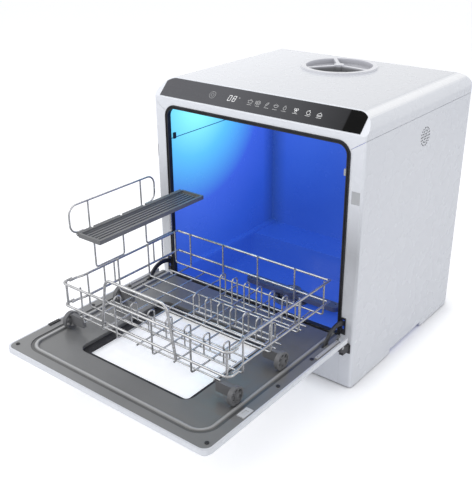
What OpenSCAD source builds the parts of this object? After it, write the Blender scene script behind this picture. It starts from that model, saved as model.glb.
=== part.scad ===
// Countertop dishwasher, door open and basket pulled out over it.
// X runs to the right, Y to the back, Z up; Z = 0 is the counter.

/* [Cabinet] */
// Width over the side panels
cab_w = 420; // [412:1:430]
// Depth from the front frame to the back panel
cab_d = 374; // [370:1:390]
// Height of the top cover above the counter
cab_h = 463; // [458:1:475]
// Thickness of the outer panels
wall = 3; // [2.5:0.5:3.5]
// Height of the top cover above its side seams
cover_drop = 36; // [32:1:40]
// Rounding along the sides and the back of the top cover
side_round = 30; // [26:1:32]
// Rise of the slanted face that carries the control panel
slope = 30; // [28:1:32]
// Rounding of the upright edges
edge_round = 6; // [5:0.5:8]

/* [Tub] */
// Space between the tub and the outside of the cabinet's side
tub_side = 27; // [26:0.5:28]
// Step in from the tub's side wall to the inside of the seal
mouth_step = 4; // [3.5:0.5:5]
// Drop from the cabinet's top to the opening's upper edge
mouth_drop = 47; // [46:1:50]
// Drop from the open door's inner face to the opening's lower edge
sill_drop = 8; // [7:0.5:10]
// Depth from the seal to the tub's back wall
tub_d = 312; // [306:1:314]
// Height of the sunken floor of the tub
well_floor = 46; // [44:1:48]

/* [Door] */
// Distance from the door's side edges to the cabinet's sides
door_side = 2; // [1:0.5:4]
// Gap between the shut door and the slanted face above it
door_gap = 1; // [1:0.5:3]
// Thickness of the door
door_t = 24; // [22:1:26]
// Height of the open door's inner face
door_top = 106; // [105:0.5:107]
// Depth of the tray in the door's inner face
tray_deep = 3; // [2:0.5:3.5]
// Width of the rounded bead along the tray
bead_w = 9; // [8:0.5:10]
// Width of the window
window_w = 212; // [190:2:230]
// Height of the window
window_len = 180; // [160:2:190]

/* [Basket] */
// Gap between the seal's inside and the basket's side wires
basket_gap = 14; // [14:1:18]
// Length of the basket
basket_len = 267; // [255:1:267]
// Height of the top rim above the floor wires
basket_h = 61; // [50:1:66]
// Radius of the rim wires
rim_r = 2; // [1.6:0.1:2.2]
// Radius of the floor wires
wire_r = 1.5; // [1.3:0.1:1.7]
// Radius of the wheels
wheel_r = 15; // [14:0.5:16]
// Width of the cup rack
rack_w = 58; // [48:1:60]
// Length of the cup rack
rack_len = 246; // [220:2:248]

/* [Hidden] */
$fn = 48;

white = "whitesmoke";
liner_grey = "dimgray";
wire_grey = "gray";
steel = "silver";
rubber = "#1b1b1d";

front_y = -cab_d / 2;
back_y = cab_d / 2;
edge_x = cab_w / 2;
panel_low = 2;                          // lower edge of the outer panels
seam_z = cab_h - cover_drop;            // seam under the top cover
seam_gap = 0.6;                         // shut line along the side seams
slope_z = cab_h - slope;                // lower edge of the slanted face
slope_len = slope * sqrt(2);
tub_w = cab_w - 2 * tub_side;
mouth_w = tub_w - 2 * mouth_step;
mouth_top = cab_h - mouth_drop;
mouth_low = door_top - sill_drop;
seal_w = 6;                             // width of the door seal
hole_x = mouth_w / 2 + seal_w;          // half width of the hole in the front frame
hole_top = mouth_top + seal_w;
hole_low = mouth_low - seal_w;
hole_r = 22;
sill_r = 6.5;                            // tighter corners beside the sill
mitre_drop = 16;                        // fall of the mitre seam towards the opening

hinge_drop = 18;                        // hinge axis below the door's inner face
hinge_y = front_y - hinge_drop - 3;
hinge_z = door_top - hinge_drop;
door_back = front_y - 16;               // hinge edge of the open door
door_w = cab_w - 2 * door_side;
door_len = slope_z - door_gap - hinge_z + door_back - hinge_y;
tray_z = door_top - tray_deep;          // face that the basket rolls on
door_front = door_back - door_len;
door_mid = (door_back + door_front) / 2;
pin_r = 3;
stay_r = 38;                            // centre line of the stay arms
stay_x = edge_x - 20;
stay_t = 3;
lug_x = edge_x - 10;                       // centre of the bracket lugs
ear_x = lug_x - 12;                       // centre of the door's hinge ears

fitting_len = 18;
origin_y = -(door_front + back_y + fitting_len) / 2;

tub_wall = 2;
tub_x = tub_w / 2;
tub_front = front_y + 7;
tub_back = tub_front + tub_d;
tub_top = mouth_top + 2;
shelf_y = tub_front + 235;              // step up to the rear shelf of the tub floor
shelf_z = mouth_low;
arm_y = tub_front + 125;                            // axis of the spray arm
arm_r = 106;

basket_w = mouth_w - 2 * basket_gap;
basket_back_y = front_y - 3;
basket_front_y = basket_back_y - basket_len;
floor_z = door_top + 24;
rim_z = floor_z + basket_h;
mid_z = floor_z + 22;
side_x = basket_w / 2 - rim_r;
corner_x = side_x + 7;                  // front corners stand wider than the sides
post_x = side_x - rim_r - wire_r + 0.4;
wheel_z = tray_z + wheel_r;
wheel_x = corner_x + 1.5;
wheel_w = 7;
wheel_ys = [basket_front_y + 11, basket_front_y + 122];
axle_r = 3;
post_ys = [for (k = [44, 112, 184, 254]) basket_front_y + k];
cross_ys = concat(post_ys, wheel_ys, [for (k = [78, 152, 222]) basket_front_y + k]);
floor_step = (2 * side_x - 60) / 7;
floor_x0 = 33 - side_x;
floor_xs = [for (k = [0:7]) floor_x0 + k * floor_step];
front_xs = [for (k = [0, 2, 4, 6]) floor_x0 + k * floor_step];
cross_z = floor_z + 2 * wire_r - 0.5;   // floor wires along X lie on those along Y
butt = 14;                              // bent feet of the side posts
end_butt = 8;                           // bent feet of the front and back posts

rack_z = rim_z + 74;
rack_x0 = -corner_x - 1;                // left edge of the cup rack
rack_y0 = basket_front_y + 36;
rack_pin_z = rack_z - 2.5;
frame_x = -side_x - rim_r - wire_r + 0.15;

cap_y = back_y - 109;
cap_r = 69;
cap_hole_r = cap_r - 6;

elbow_grow = 0.06;                      // wire elbows are this much thicker
elbow_lap = 0.5;                        // and take this much of the straight ends

// ---- shared shapes ----

// The whole model is drawn about the cabinet's centre and set down with Y = 0
// half way between the open door's free edge and the rear fittings
module placed() {
    translate([0, origin_y, 0]) children();
}

// Rectangle with true round corners
module round_rect(w, d, r) {
    square([w - 2 * r, d], center = true);
    square([w, d - 2 * r], center = true);
    for (x = [-1, 1], y = [-1, 1])
        translate([x * (w / 2 - r), y * (d / 2 - r)]) circle(r);
}

// Extrudes an X-Z outline from y0 to y1
module upright(y0, y1) {
    translate([0, y1, 0]) rotate([90, 0, 0]) linear_extrude(y1 - y0) children();
}

// Box from two opposite corners
module block(a, b) {
    translate(a) cube(b - a);
}

module both_sides() {
    children();
    mirror([1, 0, 0]) children();
}

// Round bar along X from x0 to x1
module bar_x(x0, x1, y, z, r) {
    translate([x0, y, z]) rotate([0, 90, 0]) cylinder(h = x1 - x0, r = r);
}

module bar_y(y0, y1, x, z, r) {
    translate([x, y0, z]) rotate([-90, 0, 0]) cylinder(h = y1 - y0, r = r);
}

// Wire along flat points, each corner bent on radius bend
module wire(pts, r, bend) {
    n = len(pts);
    dir = [for (i = [0:n - 2]) (pts[i + 1] - pts[i]) / norm(pts[i + 1] - pts[i])];
    turn = [for (i = [0:n - 2]) i == 0 ? 0
        : atan2(dir[i - 1][0] * dir[i][1] - dir[i - 1][1] * dir[i][0], dir[i - 1] * dir[i])];
    trim = [for (i = [0:n - 1]) i == 0 || i == n - 1 ? 0 : bend * tan(abs(turn[i]) / 2)];
    for (i = [0:n - 2]) {
        a = pts[i] + dir[i] * trim[i];
        b = pts[i + 1] - dir[i] * trim[i + 1];
        lap0 = trim[i] > 0 ? elbow_lap : 0;
        lap1 = trim[i + 1] > 0 ? elbow_lap : 0;
        translate([a[0], a[1], 0]) rotate([0, 0, atan2(dir[i][1], dir[i][0])])
            translate([-lap0, 0, 0]) rotate([0, 90, 0])
                cylinder(h = norm(b - a) + lap0 + lap1, r = r, $fn = 24);
        if (i > 0 && trim[i] > 0) {
            s = turn[i] > 0 ? 1 : -1;
            left = [-dir[i - 1][1], dir[i - 1][0]];
            c = pts[i] - dir[i - 1] * trim[i] + left * s * bend;
            start = atan2(-s * left[1], -s * left[0]);
            translate([c[0], c[1], 0]) rotate([0, 0, s > 0 ? start : start + turn[i]])
                rotate_extrude(angle = abs(turn[i]))
                    translate([bend, 0]) circle(r + elbow_grow, $fn = 24);
        }
    }
}

// Stands a flat wire up across X (at y) or along Y (at x)
module across(y) {
    translate([0, y, 0]) rotate([90, 0, 0]) children();
}

module along(x) {
    translate([x, 0, 0]) rotate([90, 0, 90]) children();
}

// ---- cabinet ----

latch_x = hole_x + 12.5;                // middle of the right latch and its strike
latch_z = mouth_top - 79;
grip_y = back_y - 179;                  // middle of the hand grip notches
foot_x = edge_x - 38;
foot_y = back_y - 35;
switch_x = edge_x - 3;                  // middle of the left switch slot
vent_y = back_y - 178;
vent_z = cab_h - 75;
inner_x = edge_x - wall;                // inside of the side panels
vent_rings = 3;
foot_round = 12;                        // lower back corner of the side panels

// Front view of the cabinet, grown outwards by g
module shoulder_outline(g) {
    translate([-edge_x - g, 0]) square([cab_w + 2 * g, cab_h - side_round]);
    translate([-edge_x + side_round, 0]) square([cab_w - 2 * side_round, cab_h + g]);
    for (s = [-1, 1])
        translate([s * (edge_x - side_round), cab_h - side_round])
            circle(side_round + g, $fn = 96);
}

// Side view with the slanted face along the front
module profile_outline(g) {
    shift = g * tan(22.5);
    polygon([[front_y - g, 0], [front_y - g, slope_z + shift],
        [front_y + slope - shift, cab_h + g], [back_y - side_round, cab_h + g],
        [back_y - side_round, cab_h - side_round], [back_y + g, cab_h - side_round],
        [back_y + g, 0]]);
    translate([back_y - side_round, cab_h - side_round]) circle(side_round + g, $fn = 96);
}

// Rounded block of the whole cabinet, grown outwards by g
module cabinet_form(g) {
    top = cab_h + g;
    intersection() {
        upright(front_y - 20, back_y + 20) shoulder_outline(g);
        translate([-edge_x - 20, 0, 0]) rotate([90, 0, 90]) linear_extrude(cab_w + 40)
            profile_outline(g);
        linear_extrude(top + 10)
            round_rect(cab_w + 2 * g, cab_d + 2 * g, edge_round + g);
    }
}

// Outline of the hole in the front frame
module mouth_outline(grow) {
    translate([0, (hole_top + hole_low) / 2])
        round_rect(2 * (hole_x + grow), hole_top - hole_low + 2 * grow, hole_r + grow);
    translate([0, hole_low - grow + 2 * hole_r])
        round_rect(2 * (hole_x + grow), 4 * hole_r, sill_r + grow);
}

// Outline of what belongs to the top cover: above the side seam, down the mitres
module cover_outline() {
    polygon([[-edge_x - 9, cab_h + 9], [-edge_x - 9, seam_z], [-edge_x, seam_z],
        [-hole_x, seam_z - mitre_drop], [-hole_x + hole_r, hole_low + 60],
        [hole_x - hole_r, hole_low + 60], [hole_x, seam_z - mitre_drop],
        [edge_x, seam_z], [edge_x + 9, seam_z], [edge_x + 9, cab_h + 9]]);
}

module top_cover() {
    color(white) difference() {
        intersection() {
            cabinet_form(0);
            union() {
                block([-edge_x, front_y, seam_z], [edge_x, back_y, cab_h + 1]);
                upright(front_y - 1, front_y + wall) cover_outline();
            }
        }
        intersection() {
            cabinet_form(-wall);
            block([-edge_x, front_y, 0], [edge_x, back_y, cab_h + 1]);
        }
        upright(front_y - 1, front_y + wall + 1) mouth_outline(0);
        translate([0, cap_y, cab_h - 20]) cylinder(h = 40, r = cap_hole_r, $fn = 96);
    }
}

// Outer ring of the cabinet between two heights
module wall_ring(z0, z1) {
    translate([0, 0, z0]) linear_extrude(z1 - z0) difference() {
        round_rect(cab_w, cab_d, edge_round);
        round_rect(cab_w - 2 * wall, cab_d - 2 * wall, edge_round - wall);
    }
}

module side_panel() {
    difference() {
        intersection() {
            wall_ring(panel_low, seam_z - seam_gap);
            block([hole_x, front_y, 0], [edge_x, back_y, cab_h]);
        }
        upright(front_y - 1, front_y + wall + 1) {
            polygon([[hole_x - 1, seam_z - mitre_drop - seam_gap - 0.64],
                [edge_x, seam_z - seam_gap], [edge_x, cab_h], [hole_x - 1, cab_h]]);
            translate([stay_x - 3.2, hinge_z + 20]) square([6.4, 21]);
        }
        // hand grip notch in the lower edge
        block([edge_x - wall - 1, grip_y - 60, 0], [edge_x + 1, grip_y + 60, panel_low + 8]);
        // rounded lower back corner
        translate([hole_x - 1, back_y - foot_round, panel_low + foot_round]) difference() {
            block([0, 0, -foot_round - 1], [edge_x - hole_x + 2, foot_round + 1, 0]);
            translate([-1, 0, 0]) rotate([0, 90, 0]) cylinder(h = edge_x, r = foot_round);
        }
    }
}

module side_panel_left() {
    color(white) mirror([1, 0, 0]) difference() {
        side_panel();
        block([switch_x - 1.5, front_y - 1, latch_z - 14], [switch_x + 1.5, front_y + edge_round, latch_z + 9]);
    }
}

module side_panel_right() {
    color(white) difference() {
        side_panel();
        block([latch_x - 7, front_y - 1, latch_z - 10], [latch_x + 7, front_y + wall + 4, latch_z + 10]);
        bar_x(edge_x - wall - 1, edge_x + 1, vent_y, vent_z, 1.5);
        for (k = [1:vent_rings], a = [0:60 / k:359])
            bar_x(edge_x - wall - 1, edge_x + 1, vent_y + 5 * k * cos(a),
                vent_z + 5 * k * sin(a), 1.5);
    }
}

module kick_panel() {
    color(white) difference() {
        block([-hole_x + 0.1, front_y, panel_low], [hole_x - 0.1, front_y + wall, hole_low + 12]);
        upright(front_y - 1, front_y + wall + 1) mouth_outline(0);
    }
}

module back_panel() {
    color(white) difference() {
        block([-hole_x + 0.1, back_y - wall, panel_low], [hole_x - 0.1, back_y, seam_z - 0.2]);
        for (k = [-6:6])
            block([k * 12 - 3, back_y - wall - 1, 340], [k * 12 + 3, back_y + 1, 380]);
        for (x = fitting_xs)
            bar_y(back_y - wall - 1, back_y + 1, x, fitting_z, 9);
        block([power_x - 15, back_y - wall - 1, 34], [power_x + 15, back_y + 1, 58]);
    }
}

module pan_outline(inset) {
    round_rect(cab_w - 2 * inset, cab_d - 2 * inset, max(1, edge_round - inset));
}

module base_pan() {
    color("darkgray") difference() {
        translate([0, 0, 6]) linear_extrude(28) pan_outline(wall + 0.5);
        translate([0, 0, 9]) linear_extrude(26) pan_outline(wall + 3);
        for (x = [-1, 1]) {
            block([x * (edge_x - 4) - 12, grip_y - 68, 5], [x * (edge_x - 4) + 12, grip_y + 68, 12]);
            for (y = [-1, 1])
                translate([x * foot_x, y * foot_y, 5]) cylinder(h = 5, r = 3.1);
        }
    }
}

module feet() {
    color(rubber) for (x = [-1, 1], y = [-1, 1])
        translate([x * foot_x, y * foot_y, 0]) {
            cylinder(h = 6, r = 13);
            cylinder(h = 10, r = 3);
        }
}

// ---- control panel ----

panel_x = edge_x - 13;
panel_edge = 2.8;                       // from the slanted face's lower edge
panel_gap = 1.5;                        // inside the cover's rounded ends
panel_t = 0.8;

// Sets its children on the slanted face, Y up the slope and Z out of it
module on_slope() {
    translate([0, front_y, slope_z]) rotate([45, 0, 0]) children();
}

module control_panel() {
    color("#202124") intersection() {
        on_slope() block([-panel_x, panel_edge, 0.02], [panel_x, slope_len, panel_t]);
        upright(front_y - 20, front_y + slope + 20) {
            translate([-edge_x + side_round, 0])
                square([cab_w - 2 * side_round, cab_h - panel_gap]);
            for (s = [-1, 1])
                translate([s * (edge_x - side_round), cab_h - side_round])
                    circle(side_round - panel_gap, $fn = 96);
        }
    }
}

board_w = 240;
board_gap = 6;

module display_board() {
    color("darkgreen") on_slope() translate([0, slope_len / 2, -wall - board_gap])
        difference() {
            union() {
                block([-board_w / 2, -9, -1.6], [board_w / 2, 9, 0]);
                for (k = [0:7])
                    translate([20 * k - board_w / 3, -3, -0.5]) cube([7, 6, 3.5]);
                for (x = [-1, 1], y = [-1, 1])
                    translate([x * (board_w / 2 - 6), y * 5, -0.5])
                        cylinder(h = board_gap + 0.5, r = 3);
            }
            for (x = [-1, 1], y = [-1, 1])
                translate([x * (board_w / 2 - 6), y * 5, -3]) cylinder(h = 8, r = 1.2);
        }
}

// ---- filling and water tank ----

cap_rise = 3.5;                         // flange above the cover
cap_dish = 9;                           // depth of the dish inside the flange
cap_floor = cap_rise - cap_dish;
rib_angles = [128.5, 233.5, 353.5];
rib_t = 6.6;

module fill_cap() {
    color(white) translate([0, cap_y, cab_h]) {
        difference() {
            union() {
                cylinder(h = cap_rise, r = cap_r, $fn = 96);
                translate([0, 0, -14]) cylinder(h = 15, r = cap_r - 6.5, $fn = 96);
            }
            translate([0, 0, cap_floor]) cylinder(h = cap_dish + 1, r = cap_r - 9, $fn = 96);
            translate([0, 0, -15]) cylinder(h = 12.5 + cap_floor, r = cap_r - 9, $fn = 96);
        }
        // ribs of the grip, meeting at a raised hub
        difference() {
            for (a = rib_angles) rotate([0, 0, a])
                block([0, -rib_t / 2, cap_floor - 0.5], [cap_r - 8.4, rib_t / 2, cap_rise]);
            translate([0, 0, cap_floor]) cylinder(h = cap_dish + 1, r = 8);
        }
        translate([0, 0, cap_floor - 0.5]) cylinder(h = cap_dish + 2, r = 9);
    }
}

module fill_funnel() {
    color("gainsboro") translate([0, cap_y, 0]) difference() {
        union() {
            translate([0, 0, tub_top + 4])
                cylinder(h = cab_h - wall - tub_top - 4.5, r = cap_hole_r + 3.5, $fn = 96);
            block([-22, cap_hole_r - 3, tub_top + 4], [22, cap_hole_r + 29, tub_top + 20]);
        }
        translate([0, 0, tub_top + 6]) cylinder(h = 60, r = cap_hole_r + 1, $fn = 96);
        block([-20, cap_hole_r - 13, tub_top + 6], [20, cap_hole_r + 27, tub_top + 18]);
        block([-20, cap_hole_r + 7, tub_top], [20, cap_hole_r + 27, tub_top + 18]);
    }
}

tank_low = mouth_low + 6;
tank_x = edge_x - 22;

module water_tank() {
    color("aliceblue") difference() {
        block([-tank_x, tub_back + 5, tank_low], [tank_x, back_y - wall - 2, tub_top + 2]);
        block([2 - tank_x, tub_back + 7, tank_low + 2], [tank_x - 2, back_y - wall - 4, tub_top]);
        block([-19, cap_y + cap_hole_r + 8, tub_top - 1], [19, cap_y + cap_hole_r + 26, tub_top + 3]);
    }
}

// ---- tub ----

crease_z = mouth_top - 59;

module tub_shell() {
    color("royalblue") difference() {
        block([-tub_x - tub_wall, tub_front, well_floor - 2],
            [tub_x + tub_wall, tub_back + tub_wall, tub_top + tub_wall]);
        block([-tub_x, tub_front - 1, well_floor - 3], [tub_x, tub_back, tub_top]);
        both_sides() block([tub_x - 1, tub_front + 4, crease_z],
            [tub_x + 0.8, tub_back - 4, crease_z + 1.4]);
        translate([lamp_x, lamp_y, tub_top - 1]) cylinder(h = 4, r = 13);
    }
}

module tub_floor() {
    color("royalblue") difference() {
        union() {
            block([-tub_x + 0.1, tub_front, well_floor - 2],
                [tub_x - 0.1, shelf_y + tub_wall, well_floor]);
            block([-tub_x + 0.1, tub_front, well_floor - 1],
                [tub_x - 0.1, tub_front + tub_wall, mouth_low]);
            block([-tub_x + 0.1, shelf_y, well_floor - 1],
                [tub_x - 0.1, shelf_y + tub_wall, shelf_z]);
            block([-tub_x + 0.1, shelf_y, shelf_z - tub_wall],
                [tub_x - 0.1, tub_back - 0.1, shelf_z]);
        }
        translate([0, arm_y, 0]) cylinder(h = 80, r = 31);
    }
}

rail_x = wheel_x - 1;

module basket_rails() {
    color("royalblue") both_sides() difference() {
        block([rail_x, tub_front + 2.2, shelf_z + 0.1], [tub_x - 0.1, tub_back - 0.2, tray_z - 0.3]);
        block([rail_x + 2, tub_front, shelf_z - 1], [tub_x - 2, tub_back - 3, tray_z - 2.3]);
    }
}

module door_gasket() {
    color(rubber) difference() {
        upright(front_y - 1.5, tub_front - 0.1) mouth_outline(-0.1);
        upright(front_y - 3, tub_front + 1) mouth_outline(-seal_w);
        // lip groove round the front face
        upright(front_y - 3, front_y - 0.4) difference() {
            mouth_outline(-2);
            mouth_outline(-4);
        }
    }
}

lamp_x = 45 - tub_x;
lamp_y = -96;

module tub_lamp() {
    color("deepskyblue") translate([lamp_x, lamp_y, tub_top - 2.5]) {
        cylinder(h = 2.5, r = 17);
        cylinder(h = 10, r = 12.8);
    }
}

// ---- wash system ----

module filter_cup() {
    color("gray") translate([0, arm_y, 0]) difference() {
        union() {
            translate([0, 0, 14]) cylinder(h = well_floor - 14 + 1.5, r = 30.8);
            translate([0, 0, well_floor]) cylinder(h = 1.5, r = 36);
        }
        translate([0, 0, 16]) cylinder(h = 60, r = 28);
        bar_y(20, 45, 0, 26, 7);
    }
}

module filter_mesh() {
    color(steel) translate([0, arm_y, 0]) difference() {
        translate([0, 0, 17]) cylinder(h = 24, r = 23);
        translate([0, 0, 19]) cylinder(h = 30, r = 21.5);
        for (a = [0:20:359], z = [22:6:36])
            translate([0, 0, z]) rotate([0, 0, a]) block([15, -1.5, 0], [30, 1.5, 4]);
    }
}

module spray_hub() {
    color("lightgray") translate([0, arm_y, 0]) difference() {
        union() {
            translate([0, 0, 36]) cylinder(h = 14, r = 14);
            translate([0, 0, 36]) cylinder(h = 32, r = 6);
            for (a = [0:90:359]) rotate([0, 0, a]) block([0, -2, 42], [27.9, 2, 45.5]);
        }
        translate([0, 0, 35]) cylinder(h = 40, r = 3.5);
    }
}

arm_z = 52;

module lower_spray_arm() {
    color("lightgray") translate([0, arm_y, arm_z]) difference() {
        union() {
            cylinder(h = 13, r = 17);
            block([-arm_r + 12, -11, 1], [arm_r - 12, 11, 10]);
            for (s = [-1, 1])
                translate([s * (arm_r - 12), 0, 1]) cylinder(h = 9, r = 11);
        }
        translate([0, 0, -1]) cylinder(h = 20, r = 6.06);
        for (s = [-1, 1], k = [1:4])
            translate([s * (22 + 18 * k), s * 4, 5]) cylinder(h = 10, r = 1.6);
    }
}

pump_y = shelf_y + 36;

module wash_pump() {
    color("dimgray") difference() {
        union() {
            bar_x(-100, -45, pump_y, 58, 27);
            bar_x(-45, -22, pump_y, 58, 31);
            translate([-34, pump_y, 58]) rotate([90, 0, 0]) cylinder(h = 33, r = 7);
        }
        translate([-34, pump_y - 15, 58]) rotate([90, 0, 0]) cylinder(h = 30, r = 5);
    }
}

module drain_pump() {
    color("slategray") {
        bar_x(30, 62, pump_y, 46, 17);
        bar_x(62, 84, pump_y, 46, 22);
    }
}

module heater() {
    color(steel) difference() {
        union() {
            bar_x(-10, 140, pump_y + 8, 84, 8);
            for (x = [0, 122]) bar_x(x, x + 8, pump_y + 8, 84, 10);
        }
        bar_x(-11, 141, pump_y + 8, 84, 6);
    }
}

board_x = inner_x - 8.4;                // face towards the side panel

module main_board() {
    color("darkgreen") {
        block([board_x - 1.6, -95, 150], [board_x, 60, 290]);
        for (k = [0:3])
            block([board_x - 10.6, -80 + 34 * k, 170], [board_x - 1.4, -60 + 34 * k, 195]);
        for (k = [0:2])
            bar_x(board_x - 11.6, board_x - 1.4, -70 + 40 * k, 250, 8);
        for (y = [-88, 53], z = [157, 283])
            bar_x(board_x - 0.4, inner_x, y, z, 3);
    }
}

module fan_housing() {
    color("#2a2a2a") translate([0, vent_y, vent_z]) difference() {
        block([inner_x - 17, -24, -24], [inner_x - 1.5, 24, 24]);
        bar_x(inner_x - 15.5, inner_x, 0, 0, 22);
        for (a = [0:45:359]) rotate([a, 0, 0]) bar_x(inner_x - 18, inner_x - 15, 14, 0, 4);
    }
}

module fan_rotor() {
    color("#3a3a3a") translate([0, vent_y, vent_z]) {
        bar_x(inner_x - 14, inner_x - 4, 0, 0, 9);
        for (a = [0:51.43:350]) rotate([a, 0, 0]) translate([inner_x - 13, 0, 0])
            rotate([0, 35, 0]) block([0, 7, -3.5], [1.5, 20.3, 3.5]);
    }
}

fitting_xs = [60 - edge_x, 100 - edge_x];
fitting_z = 47;
power_x = edge_x - 60;

module hose_fittings() {
    color("gray") for (x = fitting_xs) difference() {
        union() {
            bar_y(back_y - 12, back_y + fitting_len, x, fitting_z, 8.9);
            bar_y(back_y + 0.1, back_y + 3, x, fitting_z, 12);
            bar_y(back_y - 6, back_y - wall - 0.1, x, fitting_z, 12);
        }
        bar_y(back_y - 13, back_y + fitting_len + 1, x, fitting_z, 6);
    }
}

module power_inlet() {
    color("#222222") difference() {
        union() {
            block([power_x - 14.8, back_y - 16, 34.2], [power_x + 14.8, back_y + 1, 57.8]);
            block([power_x - 18, back_y + 0.1, 31], [power_x + 18, back_y + 3, 61]);
        }
        block([power_x - 11, back_y - 12, 38], [power_x + 11, back_y + 4, 54]);
    }
}

// ---- hinge parts on the cabinet ----

module hinge_brackets() {
    color(rubber) both_sides() difference() {
        union() {
            bar_x(lug_x - 3.5, lug_x + 3.5, hinge_y, hinge_z, 8);
            block([lug_x - 3.5, hinge_y, hinge_z - 14], [lug_x + 3.5, front_y - 0.2, hinge_z - 2]);
            block([lug_x - 5, front_y - 1.8, hinge_z - 20], [lug_x + 5, front_y - 0.2, hinge_z - 4]);
        }
        bar_x(lug_x - 4, lug_x + 4, hinge_y, hinge_z, pin_r);
    }
}

module hinge_pins() {
    color(steel) both_sides() bar_x(ear_x - 5, lug_x + 3.5, hinge_y, hinge_z, pin_r);
}

module stay_bezels() {
    color(rubber) both_sides() difference() {
        block([stay_x - 4, front_y - 2, hinge_z + 12], [stay_x + 4, front_y - 0.1, hinge_z + 42]);
        block([stay_x - 2.4, front_y - 3, hinge_z + 21], [stay_x + 2.4, front_y + 1, hinge_z + 39.5]);
    }
}

module latch_catch() {
    color(steel) difference() {
        block([latch_x - 6.9, front_y + 0.4, latch_z - 9.9], [latch_x + 6.9, front_y + 9, latch_z + 9.9]);
        block([latch_x - 5.5, front_y + 2, latch_z - 8], [latch_x + 5.5, front_y + 10, latch_z + 8]);
    }
}

module door_switch() {
    color(rubber) mirror([1, 0, 0]) {
        block([switch_x - 10, front_y + edge_round - 1.5, latch_z - 17],
            [switch_x - 0.6, front_y + 20, latch_z + 12]);
        block([switch_x - 1.3, front_y + 2.6, latch_z - 13.8],
            [switch_x + 1.2, front_y + edge_round - 1, latch_z + 8.8]);
    }
}

// ---- door ----

notch = 3;                              // clearance round the bracket lugs

module door_outline(inset) {
    translate([0, door_mid]) {
        round_rect(door_w - 2 * inset, door_len - 2 * inset, 14 - inset / 2);
        // the corners beside the hinges stay square
        translate([inset - door_w / 2, 0]) square([door_w - 2 * inset, door_len / 2 - inset]);
    }
}

// Space swept by a bracket lug while the door closes
module lug_space() {
    both_sides() block([lug_x - 5, hinge_y - 11, door_top - door_t - 1],
        [lug_x + 5, door_back + 1, door_top + 1]);
}

module window_outline(grow) {
    translate([0, window_y]) round_rect(window_w + 2 * grow, window_len + 2 * grow, 8 + grow);
}

window_y = door_front + 78 + window_len / 2;
window_z = door_top - door_t / 2;
liner_t = 2.5;

edge_drop = 9;                          // height of the shell's upright edge
shell_in = 14;                          // inset of the shell's underside
shell_wall = 3;

module door_shell() {
    edge_low = door_top - edge_drop;
    under = door_top - door_t;
    color(white) difference() {
        union() {
            hull() {
                translate([0, 0, edge_low]) linear_extrude(1) door_outline(0);
                translate([0, 0, under]) linear_extrude(1) door_outline(shell_in);
            }
            translate([0, 0, edge_low + 0.5]) linear_extrude(edge_drop - 0.5) door_outline(0);
        }
        translate([0, 0, edge_low]) linear_extrude(20) door_outline(shell_wall);
        translate([0, 0, under + shell_wall]) linear_extrude(20) door_outline(shell_in + 2);
        translate([0, 0, under - 1]) linear_extrude(9) window_outline(-4);
        // the liner laps over the hinge edge
        block([-lap_x, door_back - 5, tray_z - liner_t - 0.05], [lap_x, door_back + 1, door_top + 1]);
        lug_space();
        ear_space();
    }
}

// Room for the door's hinge ears
module ear_space() {
    both_sides() block([ear_x - 6.5, hinge_y - 12, door_top - door_t - 1],
        [lug_x - 4.9, door_back + 1, door_top - liner_t]);
}

lap_x = lug_x - 4.9;                    // half width of the liner's lap over the hinge edge
bead_x = door_w / 2 - 28;               // centre line of the bead
bead_front = door_front + 27;
bead_r = bead_w / 2;
bead_bend = 24;                         // corner radius of the bead's centre line
groove_w = 4;                           // groove outside the bead
rim_joint = 0.04;                       // butt joints between the rim's three mouldings

// Outline of the tray, grown by g, open towards the hinges
module tray_outline(g) {
    y0 = bead_front - g;
    y1 = door_back - 0.1;
    r = bead_bend + g;
    translate([r - bead_x - g, y0]) square([2 * (bead_x + g - r), y1 - y0]);
    translate([-bead_x - g, y0 + r]) square([2 * (bead_x + g), y1 - y0 - r]);
    for (s = [-1, 1])
        translate([s * (bead_x + g - r), y0 + r]) circle(r);
}

// Flat tray with the well of the window
module door_liner() {
    color(liner_grey) difference() {
        union() {
            translate([0, 0, tray_z - liner_t]) linear_extrude(liner_t) tray_outline(-0.05);
            translate([0, 0, window_z + 3]) linear_extrude(tray_z - window_z - 4)
                difference() {
                    window_outline(11);
                    window_outline(9);
                }
        }
        translate([0, 0, tray_z - liner_t - 1]) linear_extrude(5) window_outline(9);
    }
}

// Raised margin round the tray in three mouldings, with a bead and a groove
module rim_outline() {
    door_outline(3.1);
    translate([0.1 - lap_x, door_back - 8]) square([2 * lap_x - 0.2, 7.9]);
}

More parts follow.
